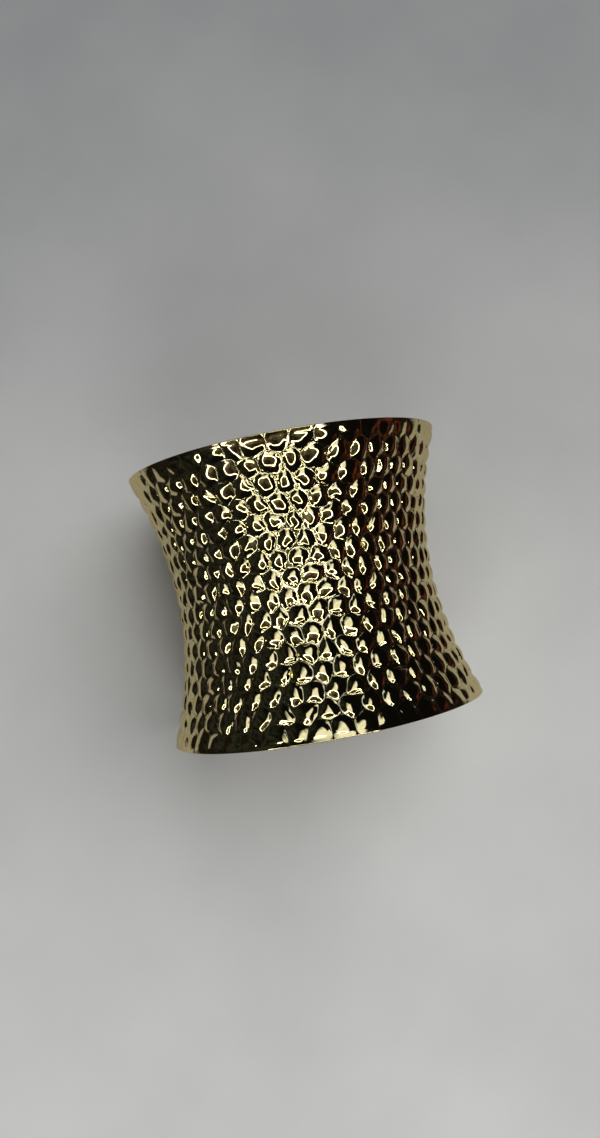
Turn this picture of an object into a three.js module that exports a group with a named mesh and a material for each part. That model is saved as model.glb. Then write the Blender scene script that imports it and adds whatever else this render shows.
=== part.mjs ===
// An open cuff bangle: one piece of pebbled sheet brass, bent round the wrist and flared at both rims.
// Millimetres, +Z up. The cuff lies as it does on a table, on the four corners beside its opening, with
// its axis along Y, the opening downwards and the middle of the band upwards.
// The origin is on the table, under the middle of the cuff.

import * as THREE from 'three';

// The band, measured over the pebbles.
const BAND_LENGTH = 57;
const WAIST_HALF_WIDTH = 27.6;
const WAIST_HALF_DEPTH = 25.9;
const FLARE = 6; // how much further out the rims are than the waist
const END_ANGLE = THREE.MathUtils.degToRad(150); // from the middle of the band to each end of the sheet
const CORNER_RADIUS = 6; // the four corners of the sheet, rounded so that they don't scratch

// The sheet and its pebbles.
const SHEET_THICKNESS = 0.8; // under the grooves between the pebbles
const PEBBLE_HEIGHT = 0.45; // from the groove to the top of a pebble
const EDGE_DEPTH = 0.3; // the sheet is trimmed through pebbles and grooves, so its edge lies between the two
const EDGE_PEBBLE_SHARE = 0.6; // pebbles cut by the edge of the sheet are this much as high as the others
const ROWS = 16; // rows of pebbles from rim to rim
const COLUMNS = 38; // pebbles in a row, from end to end
const ROW_WANDER = 0.28; // how far a pebble wanders along its row, as a share of the pebble's width
const LENGTH_WANDER = 0.18; // and across the row, as a share of the row's width
const CALM_END = 12; // the wander fades out this far from the two ends of the sheet

// The flat sheet: u runs round the wrist, as long as it is at the rims, and v from rim to rim.
const HALF_LENGTH = BAND_LENGTH / 2;
const RIM_RADIUS = (WAIST_HALF_WIDTH + WAIST_HALF_DEPTH) / 2 + FLARE;
const SHEET_HALF_WIDTH = END_ANGLE * RIM_RADIUS;
const PEBBLE_WIDTH = 2 * SHEET_HALF_WIDTH / COLUMNS;
const ROW_WIDTH = BAND_LENGTH / ROWS;
const LAST_STEP = 2 * COLUMNS; // steps of half a pebble from end to end

// A repeatable scatter from -1 to 1 for each pebble.
function scatter(row, step, salt) {
  const x = Math.sin(row * 127.1 + step * 311.7 + salt * 74.7) * 43758.5453;
  return 2 * (x - Math.floor(x)) - 1;
}

// Where the hammer struck for a pebble: rows lie half a pebble out of step with each other.
function pebbleSeed(row, step) {
  const u = -SHEET_HALF_WIDTH + step * PEBBLE_WIDTH / 2;
  const v = -HALF_LENGTH + (row + 0.5) * ROW_WIDTH;
  const calm = THREE.MathUtils.clamp((SHEET_HALF_WIDTH - Math.abs(u)) / CALM_END, 0, 1);
  return [
    u + calm * ROW_WANDER * PEBBLE_WIDTH * scatter(row, step, 1),
    v + calm * LENGTH_WANDER * ROW_WIDTH * scatter(row, step, 2),
  ];
}

// A junction of the grooves lies in the middle of the three pebbles that meet there.
// Line 0 is one rim and line ROWS the other; steps 0 and LAST_STEP are the two ends.
function junction(line, step) {
  const [pairRow, singleRow] = (line + step) % 2 === 0 ? [line, line - 1] : [line - 1, line];
  const seeds = [pebbleSeed(pairRow, step - 1), pebbleSeed(pairRow, step + 1), pebbleSeed(singleRow, step)];
  let u = (seeds[0][0] + seeds[1][0] + seeds[2][0]) / 3;
  let v = (seeds[0][1] + seeds[1][1] + seeds[2][1]) / 3;
  if (line === 0) v = -HALF_LENGTH;
  if (line === ROWS) v = HALF_LENGTH;
  if (step === 0) u = -SHEET_HALF_WIDTH;
  if (step === LAST_STEP) u = SHEET_HALF_WIDTH;
  return roundCorner(u, v);
}

// Draws the square corners of the sheet in to quarter circles, and leaves the rest where it is.
function roundCorner(u, v) {
  const straightU = SHEET_HALF_WIDTH - CORNER_RADIUS;
  const straightV = HALF_LENGTH - CORNER_RADIUS;
  const du = u - THREE.MathUtils.clamp(u, -straightU, straightU);
  const dv = v - THREE.MathUtils.clamp(v, -straightV, straightV);
  const reach = Math.hypot(du, dv);
  if (reach === 0) return [u, v];
  const shrink = Math.max(Math.abs(du), Math.abs(dv)) / reach;
  return [u - du + du * shrink, v - dv + dv * shrink];
}

// Bends a point of the flat sheet round the wrist. Depth is measured in from the tops of the pebbles.
function bend([u, v], depth) {
  const angle = u / RIM_RADIUS;
  const flare = FLARE * (v / HALF_LENGTH) ** 2;
  const halfWidth = WAIST_HALF_WIDTH + flare;
  const halfDepth = WAIST_HALF_DEPTH + flare;
  const outwards = new THREE.Vector2(Math.sin(angle) / halfWidth, Math.cos(angle) / halfDepth).normalize();
  return new THREE.Vector3(
    halfWidth * Math.sin(angle) - depth * outwards.x,
    v,
    halfDepth * Math.cos(angle) - depth * outwards.y,
  );
}

// The junctions round one pebble, counter-clockwise as seen from outside.
// A pebble at an end of the sheet is cut in half by it.
function pebbleOutline(row, step) {
  const steps = [step - 1, step, step + 1].filter((s) => s >= 0 && s <= LAST_STEP);
  const lower = steps.map((s) => [row, s]);
  const upper = steps.reverse().map((s) => [row + 1, s]);
  return [...lower, ...upper];
}

// The junctions along the sheet's edge, counter-clockwise as seen from outside.
function sheetEdge() {
  const edge = [];
  for (let step = 0; step < LAST_STEP; step++) edge.push([0, step]);
  for (let line = 0; line < ROWS; line++) edge.push([line, LAST_STEP]);
  for (let step = LAST_STEP; step > 0; step--) edge.push([ROWS, step]);
  for (let line = ROWS; line > 0; line--) edge.push([line, 0]);
  return edge;
}

function cuffBand() {
  const corners = [];
  const atEdge = ([line, step]) => line === 0 || line === ROWS || step === 0 || step === LAST_STEP;
  const groove = (place) => bend(junction(...place), atEdge(place) ? EDGE_DEPTH : PEBBLE_HEIGHT);
  const inside = (place) => bend(junction(...place), PEBBLE_HEIGHT + SHEET_THICKNESS);

  for (let row = 0; row < ROWS; row++) {
    for (let step = (row + 1) % 2; step <= LAST_STEP; step += 2) {
      const outline = pebbleOutline(row, step);

      // Outside, facets rise from the grooves to the top of the pebble.
      const flat = outline.map(([line, s]) => junction(line, s));
      const middle = [0, 1].map((k) => flat.reduce((sum, p) => sum + p[k], 0) / flat.length);
      const cut = row === 0 || row === ROWS - 1 || step === 0 || step === LAST_STEP;
      const top = bend(middle, cut ? PEBBLE_HEIGHT * (1 - EDGE_PEBBLE_SHARE) : 0);
      outline.forEach((place, i) => {
        const next = outline[(i + 1) % outline.length];
        corners.push(top, groove(place), groove(next));
      });

      // Inside, the sheet is smooth: a fan from the junction on the side away from the nearer rim.
      const heart = outline.findIndex(([line, s]) => s === step && line === (row < ROWS / 2 ? row + 1 : row));
      for (let i = 1; i < outline.length - 1; i++) {
        const here = outline[(heart + i) % outline.length];
        const next = outline[(heart + i + 1) % outline.length];
        corners.push(inside(outline[heart]), inside(next), inside(here));
      }
    }
  }

  // The edge of the sheet, flat along both rims.
  const edge = sheetEdge();
  edge.forEach((place, i) => {
    const next = edge[(i + 1) % edge.length];
    corners.push(groove(next), groove(place), inside(place));
    corners.push(groove(next), inside(place), inside(next));
  });

  const geometry = new THREE.BufferGeometry().setFromPoints(corners);
  geometry.computeVertexNormals();
  geometry.computeBoundingBox();
  return geometry;
}

const polishedGoldTone = new THREE.MeshStandardMaterial({ color: 0xd9bf6b, roughness: 0.15, metalness: 1 });

const band = new THREE.Mesh(cuffBand(), polishedGoldTone);
band.name = 'cuff_band';
const { min, max } = band.geometry.boundingBox;
band.position.set(-(min.x + max.x) / 2, -(min.y + max.y) / 2, -min.z);

const group = new THREE.Group();
group.add(band);

export default group;
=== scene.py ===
import math

import bpy
import numpy as np
from mathutils import Matrix, Vector


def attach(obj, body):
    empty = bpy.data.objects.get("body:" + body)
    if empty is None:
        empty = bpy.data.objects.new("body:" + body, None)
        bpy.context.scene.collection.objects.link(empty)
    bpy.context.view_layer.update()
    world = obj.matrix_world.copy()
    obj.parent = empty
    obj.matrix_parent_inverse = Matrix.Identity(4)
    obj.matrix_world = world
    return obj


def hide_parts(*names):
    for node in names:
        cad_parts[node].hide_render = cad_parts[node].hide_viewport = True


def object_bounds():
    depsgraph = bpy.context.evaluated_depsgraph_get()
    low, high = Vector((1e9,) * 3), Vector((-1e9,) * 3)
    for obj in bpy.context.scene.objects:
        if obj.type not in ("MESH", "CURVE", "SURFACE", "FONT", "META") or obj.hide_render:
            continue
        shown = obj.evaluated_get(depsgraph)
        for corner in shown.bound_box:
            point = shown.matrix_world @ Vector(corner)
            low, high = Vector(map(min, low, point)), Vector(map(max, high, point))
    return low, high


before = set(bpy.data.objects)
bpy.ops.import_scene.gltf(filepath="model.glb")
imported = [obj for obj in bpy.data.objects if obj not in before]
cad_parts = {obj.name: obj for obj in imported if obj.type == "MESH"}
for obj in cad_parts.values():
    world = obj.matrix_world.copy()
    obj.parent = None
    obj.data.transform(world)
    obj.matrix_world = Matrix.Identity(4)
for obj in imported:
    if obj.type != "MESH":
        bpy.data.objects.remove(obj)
cad_low, cad_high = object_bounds()
MM = 0.001


# The sheet.
# The cuff is one sheet of brass, cut as a rectangle with rounded corners and bent round the wrist.
# On the flat sheet, u runs round the wrist and v from rim to rim, both as long as they are at the rims.

BAND_LENGTH = 57 * MM
WAIST_HALF_WIDTH = 27.6 * MM
WAIST_HALF_DEPTH = 25.9 * MM
FLARE = 6 * MM
END_ANGLE = math.radians(150)
CORNER_RADIUS = 6 * MM
SHEET_THICKNESS = 0.7 * MM
PEBBLE_HEIGHT = 0.55 * MM
EDGE_DEPTH = 0.3 * MM

HALF_LENGTH = BAND_LENGTH / 2
RIM_RADIUS = (WAIST_HALF_WIDTH + WAIST_HALF_DEPTH) / 2 + FLARE
SHEET_HALF_WIDTH = END_ANGLE * RIM_RADIUS
AXIS_HEIGHT = cad_high.z - (WAIST_HALF_DEPTH + FLARE - EDGE_DEPTH)


def past_straight_edges(flat):
    """How far points lie past the straight stretch of sheet. Only the corners pass it both ways."""
    straight = np.array([SHEET_HALF_WIDTH, HALF_LENGTH]) - CORNER_RADIUS
    return flat - np.clip(flat, -straight, straight)


def round_corners(flat):
    """Draws the square corners of the sheet in to quarter circles."""
    past = past_straight_edges(flat)
    reach = np.linalg.norm(past, axis=-1, keepdims=True)
    drawn_in = np.abs(past).max(-1, keepdims=True) / np.where(reach == 0, 1, reach)
    return flat - past + past * drawn_in


def edge_distance(flat):
    """How far points lie in from the edge of the sheet."""
    return CORNER_RADIUS - np.linalg.norm(past_straight_edges(flat), axis=-1)


def bend(flat, depth):
    """Bends the flat sheet round the wrist. Depth is measured in from the tops of the pebbles."""
    angle = flat[..., 0] / RIM_RADIUS
    flare = FLARE * (flat[..., 1] / HALF_LENGTH) ** 2
    sine, cosine = np.sin(angle), np.cos(angle)
    half_width, half_depth = WAIST_HALF_WIDTH + flare, WAIST_HALF_DEPTH + flare
    out_x, out_z = sine / half_width, cosine / half_depth
    out = np.hypot(out_x, out_z)
    x = half_width * sine - depth * out_x / out
    z = half_depth * cosine - depth * out_z / out
    return np.stack([x, flat[..., 1], AXIS_HEIGHT + z], -1)


# The hammered pattern.
# Staggered rows of pebbles cover the sheet. Each was struck by hand, so none stands quite in its place,
# and a narrow groove runs between it and each of its neighbours.

ROWS = 16
COLUMNS = 38
ROW_WANDER = 0.28
LENGTH_WANDER = 0.18
CALM_END = 12 * MM
PEBBLE_WIDTH = 2 * SHEET_HALF_WIDTH / COLUMNS
ROW_WIDTH = BAND_LENGTH / ROWS
LAST_STEP = 2 * COLUMNS
EDGE_ROUNDING = 0.25 * MM


def scatter(row, step, salt):
    """A repeatable scatter from -1 to 1 for each pebble."""
    x = math.sin(row * 127.1 + step * 311.7 + salt * 74.7) * 43758.5453
    return 2 * (x - math.floor(x)) - 1


def struck_at(row, step):
    """The middle of a pebble. It strays less towards the two ends of the sheet."""
    u = -SHEET_HALF_WIDTH + step * PEBBLE_WIDTH / 2
    v = -HALF_LENGTH + (row + 0.5) * ROW_WIDTH
    calm = min(max((SHEET_HALF_WIDTH - abs(u)) / CALM_END, 0), 1)
    return np.array([
        u + calm * ROW_WANDER * PEBBLE_WIDTH * scatter(row, step, 1),
        v + calm * LENGTH_WANDER * ROW_WIDTH * scatter(row, step, 2),
    ])


def at_edge(line, step):
    return line in (0, ROWS) or step in (0, LAST_STEP)


def junction(line, step):
    """Where the grooves round three pebbles meet. The outermost lie where the rounding of the edge begins."""
    pair_row, single_row = (line, line - 1) if (line + step) % 2 == 0 else (line - 1, line)
    u, v = (struck_at(pair_row, step - 1) + struck_at(pair_row, step + 1) + struck_at(single_row, step)) / 3
    u = {0: EDGE_ROUNDING - SHEET_HALF_WIDTH, LAST_STEP: SHEET_HALF_WIDTH - EDGE_ROUNDING}.get(step, u)
    v = {0: EDGE_ROUNDING - HALF_LENGTH, ROWS: HALF_LENGTH - EDGE_ROUNDING}.get(line, v)
    return round_corners(np.array([u, v]))


# The pebbles.
# A groove is a narrow channel with a round bottom. Beside it there is a crease, and then the pebble rises in
# a steep round shoulder to a flatter top. Each pebble leans and swells in its own way. Towards the edge of
# the sheet, which was planished, the grooves are shallower.

GROOVE_RADIUS = 0.44 * MM
GROOVE_EDGE_SLOPE = math.radians(22)
STEEPEST = math.radians(43)  # where the shoulder leaves the crease
SHOULDER_RADIUS = 2.2 * MM
TOP_EDGE_SLOPE = math.radians(7.5)
TOP_RADIUS = 5.6 * MM
GROOVE_CORNER = 0.14 * MM  # how softly a pebble's sides meet at the groove
TOP_CORNER = 0.5 * MM  # and how softly near its top
CORNER_CHANGE = 0.6 * MM  # the change from one to the other takes this far
EDGE_FADE = 6 * MM
LEAN = 0.06  # the most that a top leans, as a slope
SWELL = 0.08  # the most that a pebble falls short of the full height, as a share of it
RIPPLE_HEIGHT = 0.0012 * MM
RIPPLES = [(2.3, 0.4), (1.9, 1.5), (2.6, 2.6), (1.5, 3.4), (1.7, 5.1)]  # length in mm, direction in radians
RIPPLE_SHIFT = 1.7
CROSS_SHIFT = 2.5
DRIFT = 0.07 * MM
DRIFT_STRETCH = 1.6
DRIFT_FADE = 4 * MM
SLOPE_STEP = 0.01 * MM


def height_from_groove(distance):
    """The height of the metal at a distance from the middle of a groove: channel, shoulder and top."""
    groove_width = GROOVE_RADIUS * math.sin(GROOVE_EDGE_SLOPE)
    shoulder_reach = SHOULDER_RADIUS * math.sin(STEEPEST)
    shoulder_width = shoulder_reach - SHOULDER_RADIUS * math.sin(TOP_EDGE_SLOPE)
    top_reach = TOP_RADIUS * math.sin(TOP_EDGE_SLOPE)
    in_groove = np.clip(distance, 0, groove_width)
    on_shoulder = np.clip(distance - groove_width, 0, shoulder_width)
    on_top = np.clip(distance - groove_width - shoulder_width, 0, top_reach)
    return (
        GROOVE_RADIUS - np.sqrt(GROOVE_RADIUS ** 2 - in_groove ** 2)
        + np.sqrt(SHOULDER_RADIUS ** 2 - (shoulder_reach - on_shoulder) ** 2)
        - SHOULDER_RADIUS * math.cos(STEEPEST)
        + np.sqrt(TOP_RADIUS ** 2 - (top_reach - on_top) ** 2)
        - TOP_RADIUS * math.cos(TOP_EDGE_SLOPE)
    )


def smooth_step(x):
    x = np.clip(x, 0, 1)
    return x * x * (3 - 2 * x)


def ripples(flat, stretch=1, shift=0):
    """The unevenness of hand work, as a sum of waves."""
    waves = 0
    for k, (length, direction) in enumerate(RIPPLES):
        along = flat @ np.array([math.cos(direction), math.sin(direction)])
        waves = waves + np.sin(2 * math.pi * along / (length * stretch * MM) + RIPPLE_SHIFT * k + shift)
    return waves


def drift(flat):
    """Hand-struck grooves aren't straight, so the pattern drifts to and fro, but not at the edge."""
    waves = np.stack([ripples(flat, DRIFT_STRETCH), ripples(flat[..., ::-1], DRIFT_STRETCH, CROSS_SHIFT)], -1)
    calm = smooth_step(edge_distance(flat) / DRIFT_FADE)
    return flat + DRIFT * calm[..., None] * waves


class Pebble:
    """One pebble of the flat sheet, with the grooves round it."""

    def __init__(self, row, step):
        steps = [s for s in (step - 1, step, step + 1) if 0 <= s <= LAST_STEP]
        self.places = [(row, s) for s in steps] + [(row + 1, s) for s in reversed(steps)]
        self.sides = list(zip(self.places, self.places[1:] + self.places[:1]))
        self.corners = np.array([junction(*place) for place in self.places])
        along = np.roll(self.corners, -1, axis=0) - self.corners
        self.inwards = np.column_stack([-along[:, 1], along[:, 0]]) / np.linalg.norm(along, axis=1)[:, None]
        self.grooved = np.array([not (at_edge(*a) and at_edge(*b)) for a, b in self.sides])
        self.every = np.ones(len(self.sides), bool)
        self.middle = self.corners.mean(0)
        self.swell = 1 - SWELL * (1 + scatter(row, step, 3)) / 2
        self.lean = LEAN * np.array([scatter(row, step, 4), scatter(row, step, 5)])

    def distance_in(self, flat, sides):
        """The distance in from the nearest side. Its contour lines have sharp corners in the grooves and
        rounder ones towards the top."""
        each = flat @ self.inwards[sides].T - (self.corners[sides] * self.inwards[sides]).sum(1)
        nearest = each.min(-1, keepdims=True)

        def rounded(corner):
            spread = np.exp((nearest - each) / corner).sum(-1, keepdims=True)
            return nearest - corner * np.log(spread)

        change = smooth_step(rounded(GROOVE_CORNER) / CORNER_CHANGE)
        return rounded(GROOVE_CORNER + (TOP_CORNER - GROOVE_CORNER) * change)[..., 0]

    def height(self, flat):
        """The height of the metal above the bottom of the grooves."""
        own = self.swell * height_from_groove(self.distance_in(flat, self.every))
        share = smooth_step(own / PEBBLE_HEIGHT)
        own = own + share * ((flat - self.middle) @ self.lean + RIPPLE_HEIGHT * ripples(flat))
        planished = EDGE_DEPTH / PEBBLE_HEIGHT
        share = planished + (1 - planished) * smooth_step(edge_distance(flat) / EDGE_FADE)
        return PEBBLE_HEIGHT + share * (own - PEBBLE_HEIGHT)

    def surface(self, flat):
        """Points of the outside and their normals."""
        def point(u, v):
            moved = flat + np.array([u, v])
            return bend(drift(moved), PEBBLE_HEIGHT - self.height(moved))
        across = point(SLOPE_STEP, 0) - point(-SLOPE_STEP, 0)
        along = point(0, SLOPE_STEP) - point(0, -SLOPE_STEP)
        normal = np.cross(across, along)
        return point(0, 0), normal / np.linalg.norm(normal, axis=-1, keepdims=True)

    def contours(self, outline, levels):
        """Rings of points at given distances in, found by halving along the spokes from the middle."""
        spokes = outline - self.middle
        low = np.zeros((len(levels), len(spokes), 1))
        high = np.ones_like(low)
        for _ in range(HALVINGS):
            half = (low + high) / 2
            distance = self.distance_in(self.middle + spokes * half, self.every)
            inside = distance[..., None] > levels[:, None, None]
            low, high = np.where(inside, half, low), np.where(inside, high, half)
        return self.middle + spokes * low


# The outside.
# Each pebble is a set of rings of points, one along its grooves and the others inside it up to its top.
# Neighbours share the points along their groove, so the skin is whole.

STRETCHES = 4
CONTOURS = np.array([0.15, 0.2, 0.42, 0.7, 1]) * MM
SMALL_PEBBLE_SHARES = np.array([0.08, 0.15, 0.32, 0.55, 0.8])
SMALL_PEBBLE = 0.85  # a pebble is small when the last contour lies further in than this share of its depth
HALVINGS = 16
MATT_REACH = 0.18 * MM  # the polishing wheel doesn't reach nearer to the middle of a groove

flat_points, points, normals, matt, triangles = [], [], [], [], []
corner_index, side_index = {}, {}


def new_points(flat, placed, facing, mattness=0):
    """Adds points of the skin, and returns their numbers."""
    first = len(points)
    flat_points.extend(flat)
    points.extend(placed)
    normals.extend(facing)
    matt.extend([mattness] * len(flat))
    return list(range(first, len(points)))


def shared_points(start, end):
    """The points from one junction towards the next, made when the first pebble beside them asks for them."""
    here, there = junction(*start), junction(*end)
    nowhere = np.zeros((1, 3))
    for place, flat in ((start, here), (end, there)):
        if place not in corner_index:
            corner_index[place] = new_points([flat], nowhere, nowhere)[0]
    if (start, end) not in side_index:
        between = [here + (there - here) * k / STRETCHES for k in range(1, STRETCHES)]
        nowheres = np.repeat(nowhere, len(between), 0)
        made = new_points(between, nowheres, nowheres)
        side_index[start, end] = made
        side_index[end, start] = made[::-1]
    return [corner_index[start], *side_index[start, end]]


def join_loops(outer, inner):
    """Two rows of triangles between loops with as many points."""
    for k in range(len(outer)):
        n = (k + 1) % len(outer)
        triangles.extend([(outer[k], outer[n], inner[n]), (outer[k], inner[n], inner[k])])


def all_pebbles():
    return [Pebble(row, step) for row in range(ROWS) for step in range((row + 1) % 2, LAST_STEP + 1, 2)]


for pebble in all_pebbles():
    outline = [i for side in pebble.sides for i in shared_points(*side)]
    outline_flat = np.array([flat_points[i] for i in outline])
    placed, facing = pebble.surface(outline_flat)
    for i, point, normal in zip(outline, placed, facing):
        points[i] = point
        normals[i] = normals[i] + normal

    deepest = pebble.distance_in(pebble.middle, pebble.every)
    levels = CONTOURS if CONTOURS[-1] < SMALL_PEBBLE * deepest else SMALL_PEBBLE_SHARES * deepest
    loops = [outline]
    for ring in pebble.contours(outline_flat, levels):
        loops.append(new_points(ring, *pebble.surface(ring)))
    for i in loops[0] + loops[1]:
        if pebble.distance_in(np.array(flat_points[i]), pebble.grooved) < MATT_REACH:
            matt[i] = 1
    for outer, inner in zip(loops, loops[1:]):
        join_loops(outer, inner)
    top, = new_points([pebble.middle], *pebble.surface(pebble.middle[None]))
    triangles.extend((loops[-1][k - 1], loops[-1][k], top) for k in range(len(outline)))


# The trimmed edge.
# The edge of the sheet was filed round and polished. It runs along both rims, round the four corners and
# across the two ends.

EDGE_TURNS = 4
INSIDE_DEPTH = PEBBLE_HEIGHT + SHEET_THICKNESS


def edge_places():
    """The junctions along the edge, counter-clockwise as seen from outside."""
    return (
        [(0, step) for step in range(LAST_STEP)]
        + [(line, LAST_STEP) for line in range(ROWS)]
        + [(ROWS, step) for step in range(LAST_STEP, 0, -1)]
        + [(line, 0) for line in range(ROWS, 0, -1)]
    )


def depth_of(flat, placed):
    """How deep below the tops of the pebbles a point of the outside lies."""
    return np.linalg.norm(bend(drift(flat), np.zeros(len(flat))) - placed, axis=-1)


places = edge_places()
edge_loop = [i for a, b in zip(places, places[1:] + places[:1]) for i in shared_points(a, b)]
edge_flat = np.array([flat_points[i] for i in edge_loop])
edge_depth = depth_of(edge_flat, np.array([points[i] for i in edge_loop]))
past = past_straight_edges(edge_flat)
outwards = past / np.linalg.norm(past, axis=1)[:, None]
turns = [math.pi / 2 * k / EDGE_TURNS for k in range(EDGE_TURNS + 1)]
rounding = [(math.sin(a), edge_depth + EDGE_ROUNDING * (1 - math.cos(a))) for a in turns[1:]]
rounding += [(math.sin(a), INSIDE_DEPTH - EDGE_ROUNDING * (1 - math.cos(a))) for a in reversed(turns)]

loop = edge_loop
for reach, depth in rounding:
    flat = edge_flat + outwards * EDGE_ROUNDING * reach
    next_loop = new_points(flat, bend(flat, depth), np.zeros((len(flat), 3)))
    join_loops(next_loop, loop)
    loop = next_loop


# The inside.
# It lies against the wrist, so it is smooth. It was brushed, not polished.

INSIDE_MATTNESS = 0.8
under = dict(zip(edge_loop, loop))


def point_under(i):
    """The point of the inside that lies under a point of the outside."""
    if i not in under:
        flat = np.array(flat_points[i])[None]
        under[i], = new_points(flat, bend(flat, INSIDE_DEPTH), np.zeros((1, 3)), INSIDE_MATTNESS)
    return under[i]


for pebble in all_pebbles():
    outline = []
    for (a, b), grooved in zip(pebble.sides, pebble.grooved):
        outline += shared_points(a, b)[:1] if grooved else shared_points(a, b)
    below = [point_under(i) for i in outline]
    middle = pebble.middle[None]
    heart, = new_points(middle, bend(middle, INSIDE_DEPTH), np.zeros((1, 3)), INSIDE_MATTNESS)
    triangles.extend((below[k], below[k - 1], heart) for k in range(len(below)))

mesh = bpy.data.meshes.new("hammered_cuff")
mesh.from_pydata(np.array(points), [], triangles)
mesh.shade_smooth()
mesh.normals_split_custom_set_from_vertices(np.array(normals))
mesh.attributes.new("matt", "FLOAT", "POINT").data.foreach_set("value", matt)
cuff = bpy.data.objects.new("hammered_cuff", mesh)
bpy.context.scene.collection.objects.link(cuff)


# The metal.
# Brass with a gold tone, mirror polished on the pebbles and the edge. The grooves, where the polishing wheel
# doesn't reach, stay paler and duller, and so does the inside.

POLISHED_ROUGHNESS = {"To Min": 0.03, "To Max": 0.1}
BRUSHED_ROUGHNESS = {"To Min": 0.13, "To Max": 0.2}
POLISHED_COLOURS = {"Color1": (0.9, 0.79, 0.45, 1), "Color2": (0.93, 0.8, 0.44, 1)}
BRUSHED_COLOUR = (0.97, 0.88, 0.55, 1)
GRAZING_TINT = (0.95, 0.86, 0.66, 1)
DENT_DEPTH = 0.003 * MM


def add_node(tree, kind, inputs=(), **settings):
    """Adds a node. Its inputs are plain values or the outputs of other nodes."""
    made = tree.nodes.new(kind)
    for name, value in settings.items():
        setattr(made, name, value)
    for socket, value in dict(inputs).items():
        if isinstance(value, bpy.types.NodeSocket):
            tree.links.new(value, made.inputs[socket])
        else:
            made.inputs[socket].default_value = value
    return made.outputs[0]


gold = bpy.data.materials.new("polished_gold_tone_brass")
gold.use_nodes = True
tree = gold.node_tree
shader = tree.nodes["Principled BSDF"]
shader.inputs["Metallic"].default_value = 1
shader.inputs["Specular Tint"].default_value = GRAZING_TINT
mattness = tree.nodes.new("ShaderNodeAttribute")
mattness.attribute_name = "matt"
mattness = mattness.outputs["Fac"]
place = tree.nodes.new("ShaderNodeTexCoord").outputs["Object"]
clouds = add_node(tree, "ShaderNodeTexNoise", {"Vector": place, "Scale": 90, "Detail": 3})
specks = add_node(tree, "ShaderNodeTexNoise", {"Vector": place, "Scale": 1500, "Detail": 2})
dents = add_node(tree, "ShaderNodeTexNoise", {"Vector": place, "Scale": 1100, "Detail": 1})

polished = add_node(tree, "ShaderNodeMapRange", {"Value": specks, **POLISHED_ROUGHNESS})
brushed = add_node(tree, "ShaderNodeMapRange", {"Value": specks, **BRUSHED_ROUGHNESS})
roughness = add_node(tree, "ShaderNodeMapRange", {
    "Value": mattness, "From Min": 0.3, "From Max": 0.9, "To Min": polished, "To Max": brushed})
tree.links.new(roughness, shader.inputs["Roughness"])

polished = add_node(tree, "ShaderNodeMixRGB", {"Fac": clouds, **POLISHED_COLOURS})
colour = add_node(tree, "ShaderNodeMixRGB", {"Fac": mattness, "Color1": polished, "Color2": BRUSHED_COLOUR})
tree.links.new(colour, shader.inputs["Base Color"])
bump = add_node(tree, "ShaderNodeBump", {"Height": dents, "Strength": 1, "Distance": DENT_DEPTH})
tree.links.new(bump, shader.inputs["Normal"])
mesh.materials.append(gold)

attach(cuff, "root")
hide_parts("cuff_band")


# The table.
# A plain pale surface under the cuff, with faint soiling, and painted light that makes it paler towards the
# front.
# In the metal's mirror it is painted darker than it is, with painted shade that turns near black from 100 to
# 150 mm out.

FLOOR_HALF_SIZE = 1.5
# GREYER and PALER are the two ends of the table's colour: painted light and faint soiling run it from one to
# the other.
GREYER = (0.48, 0.49, 0.5, 1)
PALER = (0.92, 0.92, 0.9, 1)
# UNLIT is painted shade: the near black that the table turns to in the metal's mirror.
UNLIT = (0.012, 0.007, 0.006, 1)
PAINTED_LIGHT_STARTS = 140 * MM
PAINTED_LIGHT_ENDS = -50 * MM
LIGHT_FADES = 100 * MM
LIGHT_ENDS = 150 * MM
MIRRORED_DIMMING = 0.3
floor_mesh = bpy.data.meshes.new("table")
floor_mesh.from_pydata(
    [(x * FLOOR_HALF_SIZE, y * FLOOR_HALF_SIZE, 0) for x, y in ((-1, -1), (1, -1), (1, 1), (-1, 1))],
    [], [(0, 1, 2, 3)])
floor = bpy.data.objects.new("table", floor_mesh)
bpy.context.scene.collection.objects.link(floor)
pale = bpy.data.materials.new("pale_table")
pale.use_nodes = True
tree = pale.node_tree
shader = tree.nodes["Principled BSDF"]
shader.inputs["Roughness"].default_value = 1
shader.inputs["Specular IOR Level"].default_value = 0.1
place = tree.nodes.new("ShaderNodeTexCoord").outputs["Object"]
soiling = add_node(tree, "ShaderNodeTexNoise", {"Vector": place, "Scale": 14, "Detail": 4})
parts = tree.nodes.new("ShaderNodeSeparateXYZ")
tree.links.new(place, parts.inputs[0])
# Painted light: the colour grows paler towards the front, as if lit more strongly there. The soiling noise
# adds faint uneven grey.
painted_light_gradient = add_node(tree, "ShaderNodeMapRange", {
    "Value": parts.outputs["Y"], "From Min": PAINTED_LIGHT_STARTS, "From Max": PAINTED_LIGHT_ENDS})
paler = add_node(tree, "ShaderNodeMath", {0: soiling, 1: painted_light_gradient}, operation="ADD")
paler = add_node(tree, "ShaderNodeMapRange", {"Value": paler, "From Min": 0.3, "From Max": 1.6})
near = add_node(tree, "ShaderNodeMixRGB", {"Fac": paler, "Color1": GREYER, "Color2": PALER})
length = tree.nodes.new("ShaderNodeVectorMath")
length.operation = "LENGTH"
tree.links.new(place, length.inputs[0])
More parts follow.
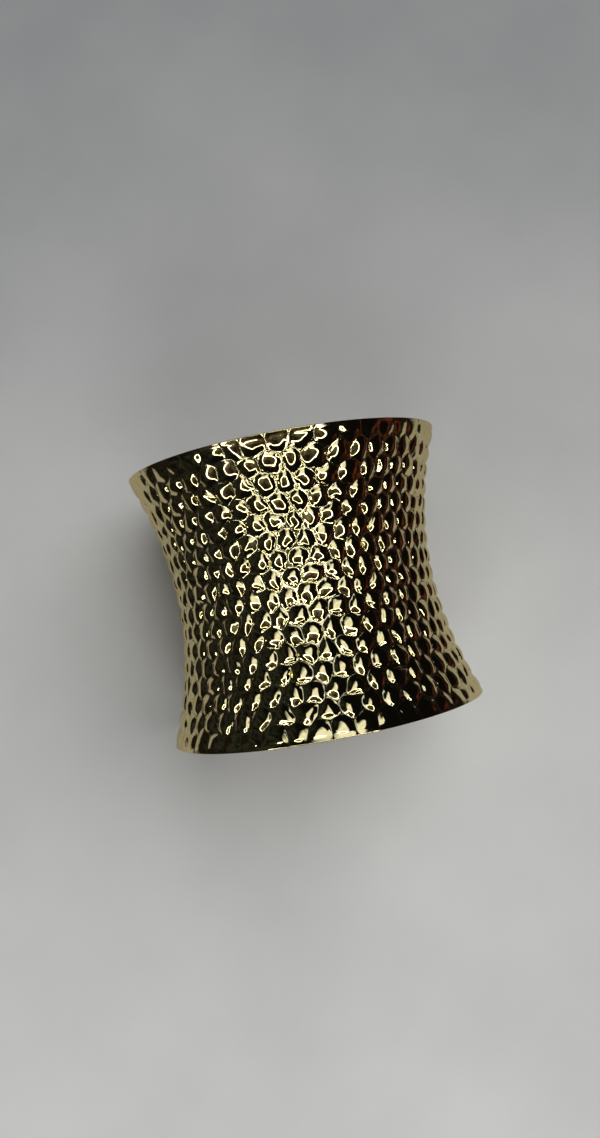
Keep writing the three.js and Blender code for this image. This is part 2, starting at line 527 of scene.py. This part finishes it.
# Painted shade: in the metal's mirror only, the table's colour is mixed a little towards near black close to
# the cuff, and fully so from 150 mm out.
far_away = add_node(tree, "ShaderNodeMapRange", {
    "Value": length.outputs["Value"],
    "From Min": LIGHT_FADES, "From Max": LIGHT_ENDS, "To Min": MIRRORED_DIMMING})
mirrored = tree.nodes.new("ShaderNodeLightPath").outputs["Is Glossy Ray"]
dimmed = add_node(tree, "ShaderNodeMath", {0: far_away, 1: mirrored}, operation="MULTIPLY")
colour = add_node(tree, "ShaderNodeMixRGB", {"Fac": dimmed, "Color1": near, "Color2": UNLIT})
tree.links.new(colour, shader.inputs["Base Color"])
floor_mesh.materials.append(pale)


# The lamps and the room.
# Broad daylight and a soft box light the table. The metal mirrors neither, but a dim room with a bright ring
# overhead and a bright panel beside it. The room gives no light of its own, and stands behind as a grey wall.

VIEW_TURN = math.radians(-10.49)
DAYLIGHT_ANGLE = math.radians(62)
DAYLIGHT_STRENGTH = 1.62
DAYLIGHT_PLACE = (170, 200, 340)  # in mm, as the boxes' places are
SOFT_BOX_SIZE = 260 * MM
SOFT_BOX_WATTS = 0.3
SOFT_BOX_PLACE = (30, -260, 300)

RING_OVAL = {"tilt": 22, "turn": -3, "half_width": 36, "half_height": 26}  # in degrees
PANEL_OVAL = {"tilt": -14, "turn": -1, "half_width": 20, "half_height": 36}
RING_LIGHT = (9, 9, 8)
PANEL_LIGHT = (0.85, 0.85, 0.85)
PANEL_GLOW = (0.1, 0.12, 0.1)
INSIDE_RING_LIGHT = (0.04, 0.028, 0.02)
INSIDE_RING_UPPER_LIGHT = (0.04, 0.05, 0.035)
LEFT_LIGHT = (0.01, 0.011, 0.009)
RIGHT_LIGHT = (0.05, 0.01, 0.006)
DARK = (0.003, 0.003, 0.003)
GREY_WALL = (0.35, 0.35, 0.35, 1)


def shine(lamp_data, place):
    """Hangs a lamp that shines on the cuff, and that the cuff and the camera don't see."""
    place = Matrix.Rotation(VIEW_TURN, 4, "Z") @ Vector(place) * MM
    lamp = bpy.data.objects.new(lamp_data.name, lamp_data)
    lamp.location = place
    lamp.rotation_euler = (-place).to_track_quat("-Z", "Y").to_euler()
    lamp.visible_camera = False
    lamp.visible_glossy = False
    bpy.context.scene.collection.objects.link(lamp)


def rise(tree, value, start, end):
    """Rises softly from 0 to 1 as the value goes from start to end."""
    inputs = {"Value": value, "From Min": start, "From Max": end}
    return add_node(tree, "ShaderNodeMapRange", inputs, interpolation_type="SMOOTHSTEP")


def product(tree, first, *others):
    """Multiplies masks."""
    for other in others:
        first = add_node(tree, "ShaderNodeMath", {0: first, 1: other}, operation="MULTIPLY")
    return first


def tinted(tree, mask, colour):
    """Light of a colour where a mask lets it through."""
    return add_node(tree, "ShaderNodeVectorMath", {0: colour, "Scale": mask}, operation="SCALE")


def total(tree, first, *others):
    """Adds up lights."""
    for other in others:
        first = add_node(tree, "ShaderNodeVectorMath", {0: first, 1: other}, operation="ADD")
    return first


def oval(tree, tilt, turn, half_width, half_height):
    """The distance from the middle of an oval of the sky, 1 at its edge, and the height above its horizon."""
    place = add_node(tree, "ShaderNodeMapping", {
        "Vector": add_node(tree, "ShaderNodeTexCoord"),
        "Rotation": (math.radians(tilt), math.radians(turn), VIEW_TURN),
        "Scale": (math.sin(math.radians(half_width)), math.sin(math.radians(half_height)), 1),
    }, vector_type="TEXTURE")
    parts = tree.nodes.new("ShaderNodeSeparateXYZ")
    tree.links.new(place, parts.inputs[0])
    flat = add_node(tree, "ShaderNodeVectorMath", {0: place, 1: (1, 1, 0)}, operation="MULTIPLY")
    length = tree.nodes.new("ShaderNodeVectorMath")
    length.operation = "LENGTH"
    tree.links.new(flat, length.inputs[0])
    return length.outputs["Value"], rise(tree, parts.outputs[2], 0, 0.1)


daylight = bpy.data.lights.new("broad_daylight", "SUN")
daylight.angle = DAYLIGHT_ANGLE
daylight.energy = DAYLIGHT_STRENGTH
shine(daylight, DAYLIGHT_PLACE)
soft_box = bpy.data.lights.new("soft_box", "AREA")
soft_box.size = SOFT_BOX_SIZE
soft_box.energy = SOFT_BOX_WATTS
shine(soft_box, SOFT_BOX_PLACE)

world = bpy.data.worlds.new("dim_room")
bpy.context.scene.world = world
world.use_nodes = True
world.cycles_visibility.diffuse = False
tree = world.node_tree
heading = add_node(tree, "ShaderNodeMapping", {
    "Vector": add_node(tree, "ShaderNodeTexCoord"), "Rotation": (0, 0, VIEW_TURN)}, vector_type="TEXTURE")
parts = tree.nodes.new("ShaderNodeSeparateXYZ")
tree.links.new(heading, parts.inputs[0])
x, y, z = parts.outputs
mottle = add_node(tree, "ShaderNodeTexNoise", {"Vector": heading, "Scale": 3, "Detail": 2})
mottle = add_node(tree, "ShaderNodeMapRange", {
    "Value": mottle, "From Min": 0.38, "From Max": 0.62, "To Min": 0.1, "To Max": 1.9})
from_ring, above_ring = oval(tree, **RING_OVAL)
ring = product(tree, above_ring, rise(tree, from_ring, 0.955, 0.972), rise(tree, from_ring, 1.045, 1.028))
inside_ring = product(tree, above_ring, rise(tree, from_ring, 0.965, 0.95))
outside_ring = rise(tree, from_ring, 1.035, 1.05)
from_panel, above_panel = oval(tree, **PANEL_OVAL)
panel = product(tree, above_panel, outside_ring, rise(tree, from_panel, 1.03, 0.93))
upper = rise(tree, y, -0.45, -0.2)
across_panel = add_node(tree, "ShaderNodeMath", {0: x, 1: y}, operation="SUBTRACT")
off_panel_corner = rise(tree, across_panel, -0.9, -0.5)
left = rise(tree, x, -0.3, -0.75)
right_and_low = product(tree, rise(tree, x, 0.8, 0.95), rise(tree, z, 0.2, 0.05))
light = total(
    tree,
    tinted(tree, ring, RING_LIGHT),
    tinted(tree, product(tree, inside_ring, mottle), INSIDE_RING_LIGHT),
    tinted(tree, product(tree, inside_ring, mottle, upper), INSIDE_RING_UPPER_LIGHT),
    tinted(tree, product(tree, panel, off_panel_corner), PANEL_LIGHT),
    tinted(tree, product(tree, panel, mottle), PANEL_GLOW),
    tinted(tree, product(tree, left, mottle), LEFT_LIGHT),
    tinted(tree, product(tree, right_and_low, mottle), RIGHT_LIGHT),
    DARK,
)
seen = tree.nodes.new("ShaderNodeLightPath").outputs["Is Camera Ray"]
light = add_node(tree, "ShaderNodeMixRGB", {"Fac": seen, "Color1": light, "Color2": GREY_WALL})
tree.links.new(light, tree.nodes["Background"].inputs["Color"])


# The camera.
# It looks almost straight down on the cuff, which lies a little turned.

CAMERA_PLACE = (-0.37 * MM, -1.6 * MM, AXIS_HEIGHT + 186 * MM)
CAMERA_TILT = math.radians(1.67)
camera_data = bpy.data.cameras.new("camera")
camera_data.lens = 27.05
camera_data.sensor_width = 36
camera_data.clip_start = 0.01
camera = bpy.data.objects.new("camera", camera_data)
camera.matrix_world = (
    Matrix.Translation(CAMERA_PLACE)
    @ Matrix.Rotation(CAMERA_TILT, 4, "X")
    @ Matrix.Rotation(VIEW_TURN, 4, "Z")
)
bpy.context.scene.collection.objects.link(camera)
bpy.context.scene.camera = camera
bpy.context.scene.view_settings.view_transform = "Standard"
